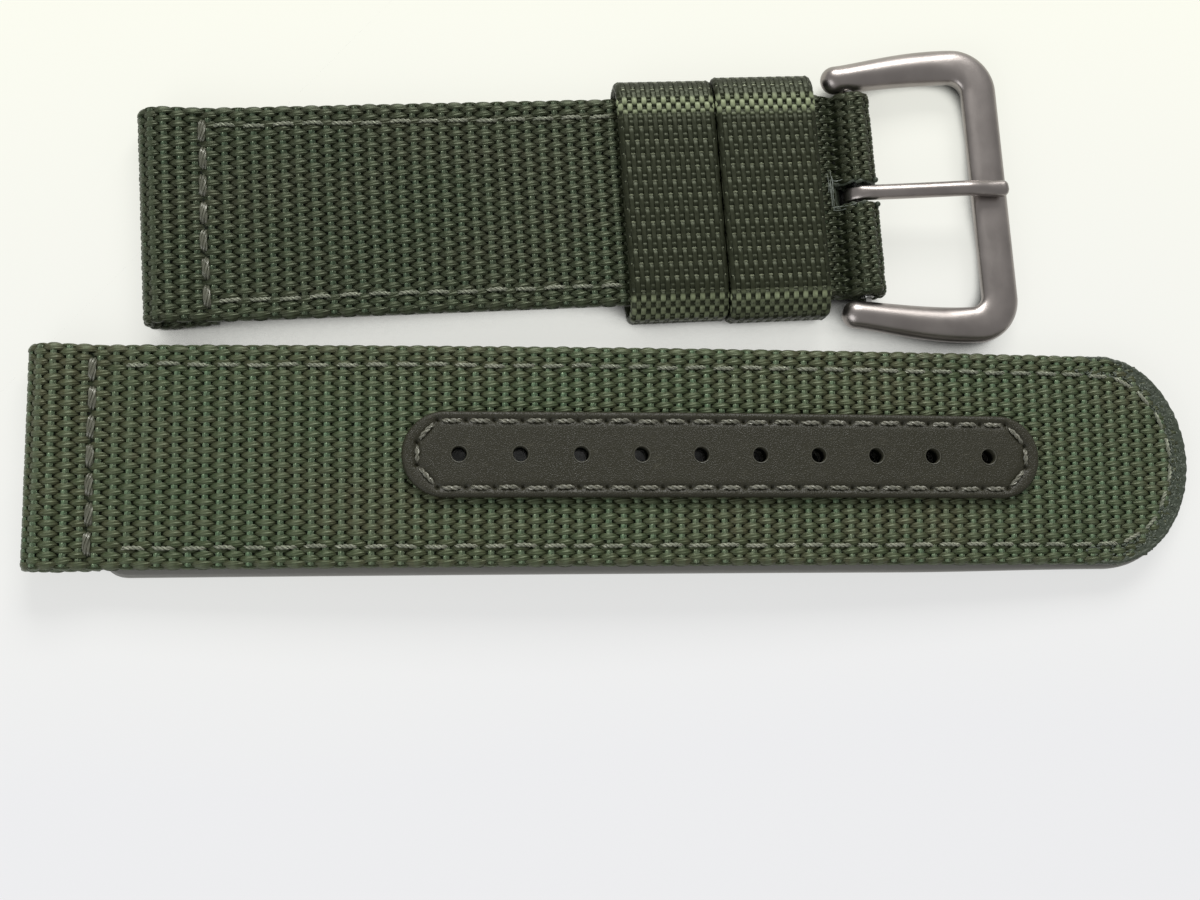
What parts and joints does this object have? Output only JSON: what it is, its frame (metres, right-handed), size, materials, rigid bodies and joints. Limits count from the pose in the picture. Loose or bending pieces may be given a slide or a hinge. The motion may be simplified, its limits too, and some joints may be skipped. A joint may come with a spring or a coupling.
{
  "type": "fabric watch strap",
  "caption": "Two-piece woven fabric watch strap with lug tunnels, a stitched leather hole patch, ribbon keepers and a steel pin buckle on a sprung bar.",
  "frame": {"origin": "middle of the buckle half's lug tunnel, on its axis", "axes": "+Y along the buckle half's lug tunnel, +X along the buckle half from lug end to buckle, +Z out of the strap's face"},
  "size_m": [0.1193, 0.0569, 0.0061],
  "materials": {
    "webbing": "olive green woven webbing",
    "ribbon": "dark olive narrow woven ribbon",
    "lining": "smooth grey lining, matte",
    "patch_leather": "dark olive pebbled leather, soft sheen",
    "thread": "grey-green twisted sewing thread",
    "buckle_steel": "satin",
    "spring_bar_steel": "turned, satin",
    "spring_wire": "drawn wire"
  },
  "bodies": {
    "buckle_half": {"buckle_half_webbing": "webbing", "buckle_half_lining": "lining", "buckle_half_edge_thread_top": "thread", "buckle_half_edge_thread_under": "thread", "buckle_half_lug_thread_top": "thread", "buckle_half_lug_thread_under": "thread", "fold_thread_top": "thread", "fold_thread_under": "thread", "fixed_keeper": "ribbon", "spring_bar_barrel": "spring_bar_steel", "spring_bar_spring": "spring_wire"},
    "free_keeper": {"free_keeper": "ribbon", "free_keeper_seam_thread": "thread"},
    "buckle_frame": {"buckle_frame": "buckle_steel"},
    "tongue": {"buckle_tongue": "buckle_steel"},
    "plunger_left": {"spring_bar_plunger_left": "spring_bar_steel"},
    "plunger_right": {"spring_bar_plunger_right": "spring_bar_steel"},
    "hole_half": {"hole_half_webbing": "webbing", "hole_half_lining": "lining", "hole_patch": "patch_leather", "patch_thread_top": "thread", "patch_thread_under": "thread", "hole_half_edge_thread_top": "thread", "hole_half_edge_thread_under": "thread", "hole_half_lug_thread_top": "thread", "hole_half_lug_thread_under": "thread"}
  },
  "joints": [
    {"name": "buckle_hinge", "type": "hinge", "parent": "buckle_half", "child": "buckle_frame", "pos_m": [0.0714, 0, 0.0002], "axis": [0, -1, 0], "range_deg": [-100, 30]},
    {"name": "tongue_hinge", "type": "hinge", "parent": "buckle_frame", "child": "tongue", "pos_m": [0.0714, 0, 0.0002], "axis": [0, -1, 0], "range_deg": [0, 80]},
    {"name": "free_keeper_slide", "type": "slide", "parent": "buckle_half", "child": "free_keeper", "axis": [-1, 0, 0], "range_m": [0, 0.0406]},
    {"name": "plunger_left_slide", "type": "slide", "parent": "buckle_half", "child": "plunger_left", "axis": [0, -1, 0], "range_m": [0, 0.0009], "stiffness_N_per_m": 400, "springref_m": -0.001, "deforming": ["spring_bar_spring"]},
    {"name": "plunger_right_slide", "type": "slide", "parent": "buckle_half", "child": "plunger_right", "axis": [0, 1, 0], "range_m": [0, 0.0009], "stiffness_N_per_m": 400, "springref_m": -0.001},
    {"name": "hole_half_lift", "type": "slide", "parent": "buckle_half", "child": "hole_half", "axis": [0, 0, 1], "range_m": [0, 0.03]}
  ]
}
